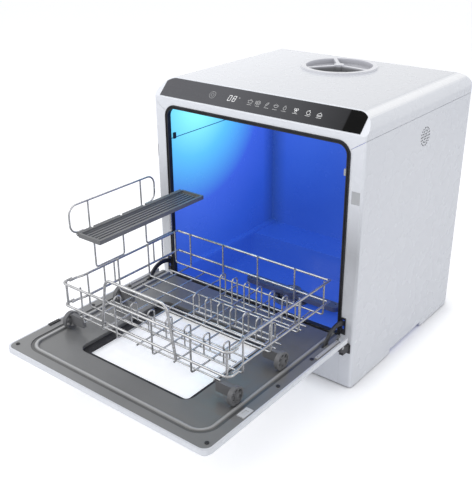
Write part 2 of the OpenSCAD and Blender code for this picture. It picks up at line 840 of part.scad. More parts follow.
module liner_rim() {
    bead_low = door_top + 0.8 - bead_r;
    groove_z = door_top - 1.2;
    color(liner_grey) difference() {
        union() {
            difference() {
                translate([0, 0, door_top - liner_t]) linear_extrude(liner_t) difference() {
                    rim_outline();
                    tray_outline(0);
                }
                translate([0, 0, groove_z]) linear_extrude(3) tray_outline(bead_r + groove_w);
            }
            translate([0, 0, tray_z + 0.02]) linear_extrude(groove_z - tray_z - 0.02)
                intersection() {
                    rim_outline();
                    difference() {
                        tray_outline(bead_r);
                        tray_outline(0);
                    }
                }
            intersection() {
                union() {
                    for (s = [-1, 1]) {
                        bar_y(bead_front + bead_bend, door_back - 0.1, s * bead_x, bead_low, bead_r);
                        translate([s * (bead_x - bead_bend), bead_front + bead_bend, bead_low])
                            rotate([0, 0, s > 0 ? -90 : 180]) rotate_extrude(angle = 90, $fn = 96)
                                translate([bead_bend, 0]) circle(bead_r);
                    }
                    bar_x(bead_bend - bead_x, bead_x - bead_bend, bead_front, bead_low, bead_r);
                }
                block([-door_w, door_front, tray_z + 0.02], [door_w, door_back, door_top + 2]);
            }
        }
        block([-door_w, bead_front + bead_bend, tray_z - 1],
            [door_w, bead_front + bead_bend + rim_joint, door_top + 2]);
        lug_space();
        ear_space();
        both_sides() {
            block([stay_x - 2.2, hinge_y - stay_r - 6, door_top - 6],
                [stay_x + 2.2, hinge_y - stay_r + 11, door_top + 1]);
            for (p = screw_ys) translate([screw_x, p, door_top - 5]) cylinder(h = 10, r = 2);
        }
    }
}

screw_x = door_w / 2 - 12;
screw_ys = [door_front + 16, door_mid, door_back - 86];

module door_screws() {
    color(steel) both_sides() for (p = screw_ys)
        translate([screw_x, p, 0]) difference() {
            union() {
                translate([0, 0, door_top]) cylinder(h = 1, r = 3.2);
                translate([0, 0, door_top - 9]) cylinder(h = 9.5, r = 1.9);
            }
            translate([0, 0, door_top + 0.4]) cube([0.9, 4, 2], center = true);
        }
}

module door_window() {
    color("lightcyan", 0.5)
        translate([0, 0, door_top - door_t + 3.1]) linear_extrude(4) window_outline(8.5);
}

module window_trim() {
    color(rubber) translate([0, 0, window_z - 4.7]) linear_extrude(7.6) difference() {
        window_outline(10.9);
        window_outline(-1);
    }
}

module hinge_ears() {
    color(rubber) both_sides() difference() {
        union() {
            bar_x(ear_x - 4, ear_x + 4, hinge_y, hinge_z, 5.8);
            block([ear_x - 4, hinge_y - 10, hinge_z], [ear_x + 4, hinge_y + 4.5, door_top - liner_t - 0.1]);
        }
        bar_x(ear_x - 6, ear_x + 6, hinge_y, hinge_z, pin_r + 0.05);
    }
}

module hinge_springs() {
    color(steel) both_sides() for (k = [0:2])
        translate([lug_x - 7.2 + k * 1.3, hinge_y, hinge_z]) rotate([0, 90, 0])
            rotate_extrude() translate([pin_r + 1.1, 0]) circle(0.55, $fn = 24);
}

// Curved stays that run on the hinge axis and enter the front frame
module door_stays() {
    color(rubber) both_sides() translate([stay_x - stay_t / 2, hinge_y, hinge_z])
        rotate([90, 0, 90]) rotate([0, 0, 50]) rotate_extrude(angle = 116, $fn = 96)
            translate([stay_r - 4, 0]) square([8, stay_t]);
}

module hinge_straps() {
    color(steel) both_sides() difference() {
        block([lug_x - 2, hinge_y - 76, door_top], [lug_x + 3, hinge_y - 13, door_top + 1.8]);
        for (y = [hinge_y - 72, hinge_y - 17])
            translate([lug_x + 0.5, y, door_top - 1]) cylinder(h = 4, r = 1.2);
    }
}

strike_y = hinge_y + hinge_z - latch_z;  // meets the latch once the door is shut

module door_strike() {
    color("lightgray") difference() {
        block([latch_x - 6, strike_y - 11, door_top], [latch_x + 6, strike_y + 11, door_top + 2]);
        block([latch_x - 3, strike_y - 5, door_top + 0.8], [latch_x + 3, strike_y + 5, door_top + 3]);
    }
}

module switch_tab() {
    color(rubber) block([3 - switch_x - 1.5, strike_y - 11, door_top], [5.5 - switch_x + 2, strike_y + 11, door_top + 1.8]);
}

// ---- basket ----

module basket_floor() {
    color(wire_grey) {
        for (x = floor_xs)
            bar_y(basket_front_y + end_butt, basket_back_y - end_butt - 2, x, floor_z, wire_r);
        for (y = cross_ys)
            bar_x(-post_x + butt, post_x - butt, y, cross_z, wire_r);
    }
}

// Top rim and middle wire across the front, wrapped round the corners
module front_loop(z, r) {
    translate([0, 0, z]) wire([[-corner_x, basket_front_y + 20], [-corner_x, basket_front_y],
        [corner_x, basket_front_y], [corner_x, basket_front_y + 20]], r, 9);
}

module basket_front() {
    post_y = basket_front_y + rim_r + wire_r - 0.4;
    color(wire_grey) {
        front_loop(rim_z, rim_r);
        front_loop(mid_z, rim_r);
        for (x = front_xs)
            along(x) wire([[basket_front_y + end_butt, floor_z], [post_y, floor_z],
                [post_y, rim_z + 3]], wire_r, 4);
        for (x = [6 - corner_x, corner_x - 6])
            translate([x, post_y, mid_z - 4]) cylinder(h = rim_z - mid_z + 8, r = wire_r + 0.4);
    }
}

module basket_back() {
    post_y = basket_back_y - 2 * rim_r - wire_r + 0.4;
    color(wire_grey) {
        for (z = [rim_z, mid_z])
            bar_x(-side_x + 3, side_x - 3, basket_back_y - rim_r, z, rim_r);
        for (x = front_xs)
            along(x) wire([[basket_back_y - end_butt - 2, floor_z], [post_y, floor_z],
                [post_y, rim_z + 3]], wire_r, 4);
    }
}

// Side wires step in from the front corner, posts turn in under the floor
module basket_side() {
    for (z = [rim_z, mid_z])
        translate([0, 0, z]) wire([[corner_x - 4.05, basket_front_y + 12],
            [corner_x - 4.05, basket_front_y + 26], [side_x, basket_front_y + 38],
            [side_x, basket_back_y]], rim_r, 4);
    for (y = post_ys)
        across(y) wire([[post_x - butt, cross_z], [post_x, cross_z], [post_x, rim_z + 3]],
            wire_r, 5);
}

module basket_left() {
    color(wire_grey) mirror([1, 0, 0]) basket_side();
}

module basket_right() {
    color(wire_grey) basket_side();
}

module basket_handle() {
    color(wire_grey) across(basket_front_y - 2 * rim_r - 0.2)
        wire([[-handle_x - 14, mid_z - 6], [-handle_x, handle_z], [handle_x, handle_z],
            [handle_x + 14, mid_z - 6]], rim_r + 0.15, 14);
}

handle_x = 62;
handle_z = rim_z + 41;

// Row of upright hoops on a wire along X
module tine_row(xs, y, h) {
    low_z = floor_z - 2 * wire_r + 0.05;
    for (x = xs)
        along(x) wire([[y - 7, low_z], [y - 7, floor_z + h], [y + 7, floor_z + h],
            [y + 7, low_z]], wire_r - 0.2, 5);
    for (s = [-7, 7])
        bar_x(xs[0] - 12, xs[len(xs) - 1] + 12, y + s, low_z, wire_r);
}

plate_step = floor_step * 2 / 3;
plate_xs = [for (k = [0:6]) floor_xs[3] + floor_step / 6 + k * plate_step];
bowl_xs = [for (k = [0:6]) floor_xs[0] + floor_step / 2 + k * floor_step];

module plate_tines() {
    color(wire_grey) {
        tine_row(plate_xs, basket_back_y - 60, 42);
        tine_row(plate_xs, basket_back_y - 128, 34);
        tine_row(bowl_xs, basket_front_y + 60, 30);
    }
}

module wheel_carriers() {
    color("gray") both_sides() for (y = wheel_ys) difference() {
        union() {
            block([post_x - butt - 7, y - 3.5, wheel_z - 4], [wheel_x - 4.5, y + 3.5, cross_z - wire_r]);
            bar_x(wheel_x - 6, wheel_x + 4.2, y, wheel_z, axle_r);
        }
    }
}

module wheel(side, y) {
    color("dimgray") translate([side * wheel_x, y, wheel_z]) rotate([0, 90, 0]) difference() {
        translate([0, 0, -wheel_w / 2]) cylinder(h = wheel_w, r = wheel_r - 0.2, $fn = 64);
        cylinder(h = wheel_w + 2, r = axle_r + 0.06, center = true);
        for (s = [-1, 1]) translate([0, 0, s * wheel_w / 2]) difference() {
            cylinder(h = 3, r = wheel_r - 3, center = true, $fn = 64);
            cylinder(h = 4, r = axle_r + 2.2, center = true);
        }
        for (a = [0:60:359]) rotate([0, 0, a])
            translate([9, 0, 0]) cylinder(h = wheel_w + 2, r = 2.9, center = true);
    }
}

module wheel_front_left() wheel(-1, wheel_ys[0]);
module wheel_front_right() wheel(1, wheel_ys[0]);
module wheel_rear_left() wheel(-1, wheel_ys[1]);
module wheel_rear_right() wheel(1, wheel_ys[1]);

// ---- cup rack ----

rack_leg_ys = [for (k = [0:1]) rack_y0 + 34 + k * 118];
leg_gap = 64;
guard_x = frame_x - 7;
guard_z = rack_z + 44;
guard_len = 185;

module rack_frame() {
    foot_z = rim_z + 1.5;
    color(wire_grey) {
        for (y = rack_leg_ys)
            along(frame_x) wire([[y, rack_pin_z - 0.8], [y, foot_z], [y + leg_gap, foot_z],
                [y + leg_gap, rack_pin_z - 0.8]], wire_r, 5);
        for (y = rack_leg_ys, k = [0.25, 0.6])
            translate([frame_x, y + k * leg_gap, mid_z - 3])
                cylinder(h = foot_z - mid_z + 3, r = wire_r - 0.05);
        bar_y(rack_y0 + 1, rack_y0 + rack_len - 1, frame_x, rack_pin_z, pivot_r);
        // guard loop beside the cups
        along(guard_x) wire([[rack_y0 + 20, rack_pin_z], [rack_y0 - 6, rack_pin_z],
            [rack_y0 - 6, guard_z], [rack_y0 + guard_len, guard_z],
            [rack_y0 + guard_len, rack_pin_z], [rack_y0 + guard_len - 24, rack_pin_z]], wire_r, 16);
        for (y = rack_leg_ys)
            translate([guard_x, y, rack_pin_z - 1]) cylinder(h = rack_z - rack_pin_z + 45, r = wire_r - 0.1);
        for (y = rack_leg_ys)
            bar_x(guard_x - 1, frame_x, y, rack_pin_z, wire_r - 0.1);
    }
}

pivot_r = 1.6;
knuckle_r = 3.6;
leg_room = 4;
leg_ys = [for (y = rack_leg_ys, k = [0, leg_gap]) y + k];
knuckle_ends = concat([rack_y0 + 2 - leg_room], leg_ys, [rack_y0 + rack_len - 2 + leg_room]);

module cup_rack() {
    plate_x = frame_x + 4.4;
    color("dimgray") difference() {
        union() {
            difference() {
                block([plate_x, rack_y0, rack_z - 6],
                    [rack_x0 + rack_w, rack_y0 + rack_len, rack_z + 1]);
                block([plate_x + 2, rack_y0 + 4, rack_z - 2.5],
                    [rack_x0 + rack_w - 3, rack_y0 + rack_len - 4, rack_z + 2]);
                for (k = [0:5])
                    block([plate_x + 3.5 + k * 7.6, rack_y0 + 7, rack_z - 7],
                        [plate_x + 7.5 + k * 7.6, rack_y0 + rack_len - 7, rack_z]);
            }
            // hinge knuckles between the frame's legs
            for (k = [0:len(knuckle_ends) - 2]) {
                y0 = knuckle_ends[k] + leg_room;
                y1 = knuckle_ends[k + 1] - leg_room;
                bar_y(y0, y1, frame_x, rack_pin_z, knuckle_r);
                block([frame_x, y0, rack_pin_z - 2], [plate_x + 1, y1, rack_pin_z + 2]);
            }
        }
        bar_y(rack_y0 - 1, rack_y0 + rack_len + 1, frame_x, rack_pin_z, pivot_r + 0.06);
    }
}

placed() top_cover();
placed() side_panel_left();
placed() side_panel_right();
placed() kick_panel();
placed() back_panel();
placed() base_pan();
placed() feet();
placed() control_panel();
placed() display_board();
placed() fill_cap();
placed() fill_funnel();
placed() water_tank();
placed() tub_shell();
placed() tub_floor();
placed() basket_rails();
placed() door_gasket();
placed() filter_cup();
placed() filter_mesh();
placed() spray_hub();
placed() lower_spray_arm();
placed() wash_pump();
placed() drain_pump();
placed() heater();
placed() main_board();
placed() fan_housing();
placed() fan_rotor();
placed() tub_lamp();
placed() hose_fittings();
placed() power_inlet();
placed() hinge_brackets();
placed() hinge_pins();
placed() stay_bezels();
placed() latch_catch();
placed() door_switch();
placed() door_shell();
placed() door_liner();
placed() liner_rim();
placed() door_window();
placed() window_trim();
placed() hinge_ears();
placed() hinge_springs();
placed() door_stays();
placed() hinge_straps();
placed() door_strike();
placed() switch_tab();
placed() door_screws();
placed() basket_floor();
placed() basket_front();
placed() basket_back();
placed() basket_left();
placed() basket_right();
placed() basket_handle();
placed() plate_tines();
placed() wheel_carriers();
placed() wheel_front_left();
placed() wheel_front_right();
placed() wheel_rear_left();
placed() wheel_rear_right();
placed() rack_frame();
placed() cup_rack();
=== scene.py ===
# Countertop dishwasher, door open, wire basket pulled out over it.
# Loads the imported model, gives every part its finish and adds the small
# visible details. Everything is in metres, X right, Y back, Z up.

import math

import bmesh
import bpy
from mathutils import Matrix, Vector


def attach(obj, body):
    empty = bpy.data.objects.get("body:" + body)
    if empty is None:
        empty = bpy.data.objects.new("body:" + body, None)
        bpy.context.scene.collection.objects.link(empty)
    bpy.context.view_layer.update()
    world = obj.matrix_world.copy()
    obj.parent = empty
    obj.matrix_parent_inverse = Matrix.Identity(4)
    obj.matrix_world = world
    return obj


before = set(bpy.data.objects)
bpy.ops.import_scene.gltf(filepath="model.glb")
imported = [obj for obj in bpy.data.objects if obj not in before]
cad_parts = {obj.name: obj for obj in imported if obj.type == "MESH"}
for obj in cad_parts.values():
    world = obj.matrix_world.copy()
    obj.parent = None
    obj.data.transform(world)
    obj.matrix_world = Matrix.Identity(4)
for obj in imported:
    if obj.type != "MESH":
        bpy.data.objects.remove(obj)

scene = bpy.context.scene
scene.view_settings.view_transform = "Standard"
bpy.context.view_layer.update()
print("Model loaded:", len(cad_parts), "parts")


def partBox(name):
    # lowest and highest corner of a part at rest
    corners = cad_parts[name].bound_box
    return [Vector(pick(c[axis] for c in corners) for axis in range(3)) for pick in (min, max)]


cabinetLow, cabinetHigh = partBox("top_cover")      # reaches the sides, front, back and top


# Node helpers

def feed(tree, node, values):
    # each value is another node's output or a plain number or vector
    for socket, value in zip(node.inputs, values):
        if isinstance(value, bpy.types.NodeSocket):
            tree.links.new(value, socket)
        else:
            socket.default_value = value


def mathNode(tree, operation, *values):
    node = tree.nodes.new("ShaderNodeMath")
    node.operation = operation
    feed(tree, node, values)
    return node.outputs[0]


def vectorNode(tree, operation, *values):
    node = tree.nodes.new("ShaderNodeVectorMath")
    node.operation = operation
    feed(tree, node, values)
    return node.outputs["Value" if operation in ("DISTANCE", "DOT_PRODUCT") else "Vector"]


def bodyPlace(tree):
    for node in tree.nodes:
        if node.type == "TEX_COORD":
            return node.outputs["Object"]
    return tree.nodes.new("ShaderNodeTexCoord").outputs["Object"]


def placeAlong(tree, axis):
    split = tree.nodes.new("ShaderNodeSeparateXYZ")
    tree.links.new(bodyPlace(tree), split.inputs[0])
    return split.outputs[axis]


def noiseAt(tree, cells, detail=2.0, stretch=None):
    # cells per metre
    noise = tree.nodes.new("ShaderNodeTexNoise")
    noise.inputs["Scale"].default_value = cells
    noise.inputs["Detail"].default_value = detail
    source = bodyPlace(tree)
    if stretch:
        mapping = tree.nodes.new("ShaderNodeMapping")
        mapping.inputs["Scale"].default_value = stretch
        tree.links.new(source, mapping.inputs["Vector"])
        source = mapping.outputs["Vector"]
    tree.links.new(source, noise.inputs["Vector"])
    return noise.outputs["Fac"]


def rampBetween(tree, value, low, high, start=0.3, end=0.7):
    ramp = tree.nodes.new("ShaderNodeMapRange")
    ramp.inputs["From Min"].default_value = start
    ramp.inputs["From Max"].default_value = end
    ramp.inputs["To Min"].default_value = low
    ramp.inputs["To Max"].default_value = high
    tree.links.new(value, ramp.inputs["Value"])
    return ramp.outputs["Result"]


def mixColours(tree, factor, first, second):
    mix = tree.nodes.new("ShaderNodeMix")
    mix.data_type = "RGBA"
    tree.links.new(factor, mix.inputs["Factor"])
    for socket, colour in ((mix.inputs["A"], first), (mix.inputs["B"], second)):
        if isinstance(colour, bpy.types.NodeSocket):
            tree.links.new(colour, socket)
        else:
            socket.default_value = (*colour, 1)
    return mix.outputs["Result"]


def colourRamp(tree, value, start, end, stops):
    # stops: list of (share of the way from start to end, colour)
    ramp = tree.nodes.new("ShaderNodeValToRGB")
    elements = ramp.color_ramp.elements
    for element, (place, colour) in zip((elements[0], elements[1]), (stops[0], stops[-1])):
        element.position = place
        element.color = (*colour, 1)
    for place, colour in stops[1:-1]:
        elements.new(place).color = (*colour, 1)
    tree.links.new(rampBetween(tree, value, 0.0, 1.0, start, end), ramp.inputs["Fac"])
    return ramp.outputs["Color"]


def greyRamp(tree, value, start, end, stops, tint):
    return colourRamp(tree, value, start, end,
                      [(place, tuple(grey * t for t in tint)) for place, grey in stops])


def facing(tree, axis, start=0.5, end=0.7):
    # 1 on faces that look along the axis, 0 on the others
    surface = tree.nodes.new("ShaderNodeNewGeometry")
    along = vectorNode(tree, "DOT_PRODUCT", surface.outputs["True Normal"], axis)
    return rampBetween(tree, along, 0.0, 1.0, start, end)


def withinRound(tree, middle, radius, flatten=(1, 1, 1)):
    # 1 inside a ball of this radius, or a cylinder if one axis is flattened
    flat = vectorNode(tree, "MULTIPLY", bodyPlace(tree), flatten)
    return mathNode(tree, "LESS_THAN", vectorNode(tree, "DISTANCE", flat, middle), radius)


def softNormal(tree, radius):
    bevel = tree.nodes.new("ShaderNodeBevel")
    bevel.samples = 4
    bevel.inputs["Radius"].default_value = radius
    return bevel.outputs["Normal"]


def cornerShade(tree, radius):
    # 0 on flats, rising to 1 where the surface turns over an outer corner
    surface = tree.nodes.new("ShaderNodeNewGeometry")
    turned = vectorNode(tree, "DOT_PRODUCT", softNormal(tree, radius), surface.outputs["Normal"])
    return rampBetween(tree, turned, 1.0, 0.0, 0.75, 0.98)


def newFinish(name, colour, roughness, metallic=0.0, specular=0.5, coat=0.0,
              coatRoughness=0.05, transmission=0.0, ior=1.45):
    material = bpy.data.materials.new(name)
    material.use_nodes = True
    shader = material.node_tree.nodes["Principled BSDF"]
    shader.inputs["Base Color"].default_value = (*colour, 1)
    shader.inputs["Roughness"].default_value = roughness
    shader.inputs["Metallic"].default_value = metallic
    shader.inputs["Specular IOR Level"].default_value = specular
    shader.inputs["Coat Weight"].default_value = coat
    shader.inputs["Coat Roughness"].default_value = coatRoughness
    shader.inputs["Transmission Weight"].default_value = transmission
    shader.inputs["IOR"].default_value = ior
    return material, material.node_tree, shader


def paint(tree, shader, colour, socket="Base Color"):
    tree.links.new(colour, shader.inputs[socket])


def cloudy(tree, cells, detail, first, second, start=0.3, end=0.7):
    # drifts between two colours in soft clouds
    factor = rampBetween(tree, noiseAt(tree, cells, detail), 0.0, 1.0, start, end)
    return mixColours(tree, factor, first, second)


def addGloss(tree, shader, cells, detail, low, high, stretch=None):
    # roughness that wanders between two values
    patches = noiseAt(tree, cells, detail, stretch)
    tree.links.new(rampBetween(tree, patches, low, high), shader.inputs["Roughness"])


def addGrain(tree, shader, height, strength, depth, softEdge=0.0):
    # fine bumps, with rounded edges if a radius is given
    bump = tree.nodes.new("ShaderNodeBump")
    bump.inputs["Strength"].default_value = strength
    bump.inputs["Distance"].default_value = depth
    tree.links.new(height, bump.inputs["Height"])
    if softEdge:
        tree.links.new(softNormal(tree, softEdge), bump.inputs["Normal"])
    tree.links.new(bump.outputs["Normal"], shader.inputs["Normal"])


def addGlow(tree, shader, colour, strength):
    paint(tree, shader, colour, "Emission Color")
    shader.inputs["Emission Strength"].default_value = strength


# Camera, lamps and floor

def buildCamera():
    view = {
        "position": (0.7221, -0.9599, 0.7556),
        "turn": 38.51,           # degrees from looking straight back
        "tilt": 25.24,           # degrees down
        "roll": -0.46,
        "lens": 58.61,           # mm
        "sensor": 36.0,          # mm
        "near": 0.02,
        "far": 30,
    }
    turn, tilt, roll = (math.radians(view[k]) for k in ("turn", "tilt", "roll"))
    forward = Vector((-math.sin(turn) * math.cos(tilt),
                      math.cos(turn) * math.cos(tilt), -math.sin(tilt)))
    right = Vector((math.cos(turn), math.sin(turn), 0))
    up = right.cross(forward)
    cameraX = right * math.cos(roll) + up * math.sin(roll)
    cameraY = up * math.cos(roll) - right * math.sin(roll)
    data = bpy.data.cameras.new("studioCamera")
    data.sensor_fit = "HORIZONTAL"
    data.sensor_width = view["sensor"]
    data.lens = view["lens"]
    data.clip_start = view["near"]
    data.clip_end = view["far"]
    camera = bpy.data.objects.new("studioCamera", data)
    scene.collection.objects.link(camera)
    turned = Matrix((cameraX, cameraY, -forward)).transposed().to_4x4()
    camera.matrix_world = Matrix.Translation(view["position"]) @ turned
    scene.camera = camera


def aimLamp(name, place, target, size, power):
    data = bpy.data.lights.new(name, "AREA")
    data.shape = "RECTANGLE"
    data.size = data.size_y = size
    data.energy = power
    lamp = bpy.data.objects.new(name, data)
    lamp.location = place
    direction = Vector(target) - Vector(place)
    lamp.rotation_euler = direction.to_track_quat("-Z", "Y").to_euler()
    scene.collection.objects.link(lamp)


def skyShader(tree, colour, strength):
    sky = tree.nodes.new("ShaderNodeBackground")
    sky.inputs["Color"].default_value = colour
    sky.inputs["Strength"].default_value = strength
    return sky.outputs[0]


def buildLights():
    studio = {
        "lamps": {               # place, target, width, watts
            "keyLamp": ((-1.5, -1.9, 1.9), (0, 0, 0.2), 1.6, 20.0),
            "topLamp": ((0.1, 0.3, 2.3), (0, 0.05, 0.3), 1.8, 9.0),
            "sideLamp": ((2.1, 0.1, 1.2), (0, 0, 0.2), 1.4, 6.0),
        },
        "ambientColour": (0.93, 0.95, 1.0, 1),
        "ambient": 0.62,
        "backdrop": (1, 1, 1, 1),
    }
    for name, (place, target, width, watts) in studio["lamps"].items():
        aimLamp(name, place, target, width, watts)
    world = bpy.data.worlds.new("studioWorld")
    scene.world = world
    world.use_nodes = True
    tree = world.node_tree
    tree.nodes.clear()
    rays = tree.nodes.new("ShaderNodeLightPath").outputs
    mirrored = mathNode(tree, "MAXIMUM", rays["Is Glossy Ray"], rays["Is Transmission Ray"])
    mix = tree.nodes.new("ShaderNodeMixShader")
    feed(tree, mix, (mathNode(tree, "MAXIMUM", rays["Is Camera Ray"], mirrored),
                     skyShader(tree, studio["ambientColour"], studio["ambient"]),
                     skyShader(tree, studio["backdrop"], 1.0)))
    output = tree.nodes.new("ShaderNodeOutputWorld")
    tree.links.new(mix.outputs[0], output.inputs["Surface"])


def buildFloor():
    floor = {
        "reach": 6.0,
        "colour": (0.9, 0.9, 0.91),
        "roughness": 0.6,
        "lift": 0.42,            # own light, which keeps the open floor white
        "contact": 0.05,         # how near a part must be to paint contact shadow on the floor
    }
    mesh = bpy.data.meshes.new("studioFloor")
    r = floor["reach"]
    mesh.from_pydata([(-r, -r, 0), (r, -r, 0), (r, r, 0), (-r, r, 0)], [], [(0, 1, 2, 3)])
    plane = bpy.data.objects.new("studioFloor", mesh)
    scene.collection.objects.link(plane)
    material, tree, shader = newFinish("paleFloor", floor["colour"], floor["roughness"],
                                       specular=0.1, ior=1.5)
    rays = tree.nodes.new("ShaderNodeLightPath").outputs
    seen = mathNode(tree, "MAXIMUM", rays["Is Camera Ray"], rays["Is Transmission Ray"])
    # painted contact shadow: the floor's own light fades near parts, by ambient occlusion
    close = tree.nodes.new("ShaderNodeAmbientOcclusion")
    close.samples = 8
    close.inputs["Distance"].default_value = floor["contact"]
    bare = rampBetween(tree, close.outputs["AO"], 0.0, 1.0, 0.4, 0.95)
    lift = mathNode(tree, "MULTIPLY", seen, floor["lift"])
    glow = tree.nodes.new("ShaderNodeEmission")
    tree.links.new(mathNode(tree, "MULTIPLY", lift, bare), glow.inputs["Strength"])
    both = tree.nodes.new("ShaderNodeAddShader")
    feed(tree, both, (shader.outputs[0], glow.outputs[0]))
    tree.links.new(both.outputs[0], tree.nodes["Material Output"].inputs["Surface"])
    mesh.materials.append(material)


buildCamera()
buildLights()
buildFloor()
print("Camera, lamps and floor placed")


# Finishes

def mouldedPlastic(name, colour, paler, roughness, coat=0.0):
    moulded = {
        "clouds": 9.0,
        "patches": 45.0,
        "grain": 900.0,
        "grainDepth": 0.00008,
        "softEdge": 0.0006,
    }
    material, tree, shader = newFinish(name, colour, roughness, coat=coat)
    tint = rampBetween(tree, noiseAt(tree, moulded["clouds"], 3.0), 0.0, 0.55, 0.35, 0.7)
    body = mixColours(tree, tint, colour, paler)
    # painted highlight: outer corners and edges turn paler
    cornerTurn = cornerShade(tree, moulded["softEdge"] * 1.6)
    edgeHighlight = rampBetween(tree, cornerTurn, 0.0, 0.35, 0.0, 1.0)
    paint(tree, shader, mixColours(tree, edgeHighlight, body, paler))
    addGloss(tree, shader, moulded["patches"], 4.0, roughness * 0.88, roughness * 1.14)
    addGrain(tree, shader, noiseAt(tree, moulded["grain"]), 0.35, moulded["grainDepth"],
             moulded["softEdge"])
    return material


def sprayedEnamel():
    fanLow, fanHigh = partBox("fan_housing")
    coat = {
        "white": (0.80, 0.815, 0.845),
        "shade": (0.79, 0.806, 0.838),
        "roughness": 0.27,
        "ripple": 420.0,         # orange peel, cells per metre
        # painted reflection on the front faces: grey by height, darkest in a band at mid height
        "front": [(0.0, 1.0), (0.20, 0.97), (0.30, 0.86), (0.56, 0.56), (0.78, 0.92), (1.0, 1.0)],
        "frontHeight": 0.43,
        "top": [(0.0, 0.93), (0.45, 0.80), (1.0, 0.72)],     # painted light, from left to right: the top is brightest at the left
        "topReach": 0.2,
        "tint": (0.965, 0.982, 1.02),
        # painted highlight along the rounded shoulder, and the way it faces
        "shoulderHighlight": (1.0, 1.0, 1.0),
        "shoulderLean": (0.5, 0, 0.866),
        "ventRadius": 0.019,
        "ventDepth": 0.005,
        "skin": 0.0002,          # white thickness of the side round the painted shade in the vent holes
        "hole": (0.012, 0.012, 0.014),
    }
    material, tree, shader = newFinish("whiteEnamel", coat["white"], coat["roughness"],
                                       coat=0.4, coatRoughness=0.1)
    body = cloudy(tree, 3.5, 2.0, coat["white"], coat["shade"], 0.38, 0.64)
    # front faces take the painted reflection by height
    front = greyRamp(tree, placeAlong(tree, "Z"), 0.0, coat["frontHeight"], coat["front"],
                     coat["tint"])
    body = mixColours(tree, facing(tree, (0, -1, 0)), body, front)
    # top faces take the painted light, brighter at the left
    top = greyRamp(tree, placeAlong(tree, "X"), -coat["topReach"], coat["topReach"],
                   coat["top"], coat["tint"])
    body = mixColours(tree, facing(tree, (0, 0, 1), 0.9, 0.99), body, top)
    # painted highlight on faces turned up and to the right over the shoulder
    shoulderHighlight = facing(tree, coat["shoulderLean"], 0.955, 0.995)
    body = mixColours(tree, shoulderHighlight, body, coat["shoulderHighlight"])
    # painted shade inside the vent holes, under the side's white skin
    vent = (fanLow + fanHigh) / 2
    vent.x = cabinetHigh.x - coat["ventDepth"]
    under = mathNode(tree, "LESS_THAN", placeAlong(tree, "X"), cabinetHigh.x - coat["skin"])
    hole = mathNode(tree, "MULTIPLY", under, withinRound(tree, vent, coat["ventRadius"]))
    paint(tree, shader, mixColours(tree, hole, body, coat["hole"]))
    addGloss(tree, shader, 24.0, 2.0, 0.26, 0.285)
    addGrain(tree, shader, noiseAt(tree, coat["ripple"]), 0.006, 0.00005, 0.0008)
    return material


def capPlastic():
    capLow, capHigh = partBox("fill_cap")
    cap = {
        "white": (0.80, 0.80, 0.83),
        "shade": (0.82, 0.82, 0.85),
        "roughness": 0.3,
        "rim": 0.0035,           # above the cover
        "dish": 0.009,           # below the rim
        "radius": 0.0605,
        "hollowShade": [(0.0, 0.15), (0.6, 0.26), (0.97, 0.80)],   # painted shade, from the dish up to the rim
        # lighter painted shade for the other hollows
        "pale": [(0.0, 0.52), (0.6, 0.60), (0.97, 0.80)],
        "tint": (0.97, 0.97, 1.02),
        "shaded": (0.399, -0.917, 0),                         # towards the shaded hollow
    }
    material, tree, shader = newFinish("capPlastic", cap["white"], cap["roughness"], coat=0.3)
    level = (1, 1, 0)
    middle = (capLow + capHigh) / 2 * Vector(level)
    rim = cabinetHigh.z + cap["rim"]
    # painted shade in the hollows by depth; the hollow towards the shaded side is darker
    hollowShade, pale = (greyRamp(tree, placeAlong(tree, "Z"), rim - cap["dish"], rim, cap[stops],
                             cap["tint"]) for stops in ("hollowShade", "pale"))
    spoke = vectorNode(tree, "MULTIPLY",
                       vectorNode(tree, "SUBTRACT", bodyPlace(tree), middle), level)
    towards = vectorNode(tree, "DOT_PRODUCT", vectorNode(tree, "NORMALIZE", spoke), cap["shaded"])
    near = rampBetween(tree, towards, 0.0, 1.0, 0.49, 0.52)
    paint(tree, shader, mixColours(tree, withinRound(tree, middle, cap["radius"], level),
                                   cloudy(tree, 20.0, 3.0, cap["white"], cap["shade"]),
                                   mixColours(tree, near, pale, hollowShade)))
    addGloss(tree, shader, 60.0, 3.0, 0.26, 0.34)
    addGrain(tree, shader, noiseAt(tree, 900.0), 0.1, 0.00004, 0.0006)
    return material


def linerPlastic():
    trayHigh = partBox("door_liner")[1]
    liner = {
        "grey": (0.2, 0.2, 0.2),
        "roughness": 0.34,
        "below": 0.003,          # the ramp starts this far under the tray's top
        "rise": 0.0068,          # and ends on the raised rim
        # painted shade and highlight by height: dark in the groove, lighter on the ridge and rim
        "levels": [(0.0, 0.16), (0.44, 0.185), (0.60, 0.185), (0.68, 0.10), (0.74, 0.10),
                   (0.85, 0.22), (0.90, 0.22), (0.96, 0.38), (1.0, 0.45)],
        "tint": (1, 1, 0.985),
        # painted reflection across the width: brighter at the left, darker at the right
        "left": 1.25,
        "right": 0.80,
        "reach": 0.2,
    }
    material, tree, shader = newFinish("linerPlastic", liner["grey"], liner["roughness"],
                                       coat=0.15)
    low = trayHigh.z - liner["below"]
    tone = greyRamp(tree, placeAlong(tree, "Z"), low, low + liner["rise"], liner["levels"],
                    liner["tint"])
    # the grey is scaled by the painted reflection
    lit = tree.nodes.new("ShaderNodeVectorMath")
    lit.operation = "SCALE"
    tree.links.new(tone, lit.inputs[0])
    tree.links.new(rampBetween(tree, placeAlong(tree, "X"), liner["left"], liner["right"],
                               -liner["reach"], liner["reach"]), lit.inputs["Scale"])
    paint(tree, shader, lit.outputs[0])
    addGloss(tree, shader, 45.0, 4.0, 0.3, 0.38)
    addGrain(tree, shader, noiseAt(tree, 900.0), 0.3, 0.00006, 0.0006)
    return material


